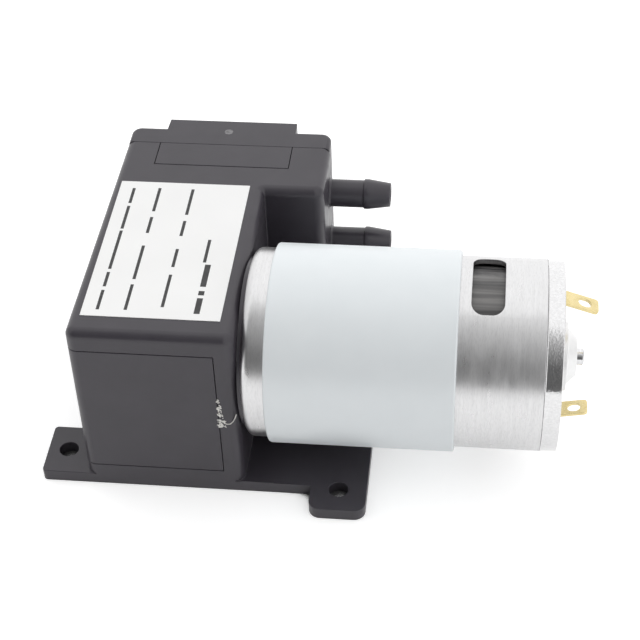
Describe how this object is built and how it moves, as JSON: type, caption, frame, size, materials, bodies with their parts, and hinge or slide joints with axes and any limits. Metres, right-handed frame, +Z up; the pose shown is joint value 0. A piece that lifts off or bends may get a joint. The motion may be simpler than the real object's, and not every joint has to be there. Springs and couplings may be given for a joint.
{
  "type": "diaphragm vacuum pump",
  "caption": "Electric diaphragm vacuum pump: moulded housing with a flanged mounting plate, stacked hose barbs and a cylindrical brush motor with rear blade terminals.",
  "frame": {"origin": "on the underside of the mounting plate, below the motor axis, in the plane of the crankcase wall that carries the motor", "axes": "+X along the motor shaft towards the terminals, +Y from the motor axis towards the pump head, +Z up from the mounting plate"},
  "size_m": [0.1043, 0.0725, 0.0434],
  "materials": {
    "housing_plastic": "dark grey moulded plastic, matt",
    "inner_plastic": "black moulded plastic",
    "rod_plastic": "natural acetal",
    "label_film": "white satin film",
    "rubber": "moulded rubber",
    "can_steel": "bright drawn steel",
    "ring_steel": "pale satin zinc plate",
    "bell_steel": "bright plated steel",
    "shaft_steel": "ground steel",
    "screw_steel": "zinc-plated steel",
    "bearing_steel": "polished bearing steel",
    "eccentric_steel": "turned steel",
    "core_steel": "laminated electrical steel",
    "ferrite": "ground ferrite",
    "copper": "copper",
    "bronze": "sintered bronze",
    "brass": "bright stamped brass",
    "carbon": "pressed carbon",
    "aluminium": "turned aluminium"
  },
  "bodies": {
    "housing": {"main_housing": "housing_plastic", "crankcase_cover": "housing_plastic", "head_cap": "housing_plastic", "manifold_block": "housing_plastic", "chamber_plate": "inner_plastic", "cap_gasket": "rubber", "diaphragm": "rubber", "cap_screws": "screw_steel", "motor_screws": "screw_steel", "motor_can": "can_steel", "flux_ring": "ring_steel", "front_magnet": "ferrite", "rear_magnet": "ferrite", "end_bell": "bell_steel", "front_bush": "bronze", "rear_bush": "bronze", "brush_plate": "inner_plastic", "upper_terminal": "brass", "lower_terminal": "brass", "upper_brush": "carbon", "lower_brush": "carbon", "spec_label": "label_film"},
    "rotor": {"motor_shaft": "shaft_steel", "armature_core": "core_steel", "armature_windings": "copper", "commutator": "copper", "shaft_spacers": "inner_plastic", "eccentric": "eccentric_steel", "eccentric_set_screw": "screw_steel", "rod_bearing_inner": "bearing_steel"},
    "rod": {"connecting_rod": "rod_plastic", "rod_bearing_outer": "bearing_steel", "diaphragm_retainer": "aluminium", "retainer_screw": "screw_steel"},
    "bearing_cage": {"rod_bearing_balls": "bearing_steel", "rod_bearing_cage": "inner_plastic"},
    "inlet_valve": {"inlet_flap": "rubber"},
    "outlet_valve": {"outlet_flap": "rubber"}
  },
  "joints": [
    {"name": "rotor_spin", "type": "hinge", "parent": "housing", "child": "rotor", "pos_m": [0, 0, 0.02455], "axis": [1, 0, 0], "continuous": true},
    {"name": "rod_swing", "type": "hinge", "parent": "rotor", "child": "rod", "pos_m": [-0.0135, -0.0018, 0.02455], "axis": [1, 0, 0], "continuous": true, "deforming": ["diaphragm"]},
    {"name": "cage_roll", "type": "hinge", "parent": "rotor", "child": "bearing_cage", "pos_m": [-0.013, -0.0018, 0.02455], "axis": [1, 0, 0], "continuous": true},
    {"name": "inlet_lift", "type": "hinge", "parent": "housing", "child": "inlet_valve", "pos_m": [-0.0135, 0.033, 0.02575], "axis": [1, 0, 0], "range_deg": [0, 6], "stiffness_Nm_per_rad": 0.0002},
    {"name": "outlet_lift", "type": "hinge", "parent": "housing", "child": "outlet_valve", "pos_m": [-0.0135, 0.0344, 0.02335], "axis": [1, 0, 0], "range_deg": [0, 6], "stiffness_Nm_per_rad": 0.0002}
  ],
  "couplings": [
    {"joint": "rod_swing", "follows": "rotor_spin", "ratio": -1},
    {"joint": "cage_roll", "follows": "rotor_spin", "ratio": -0.62222}
  ]
}
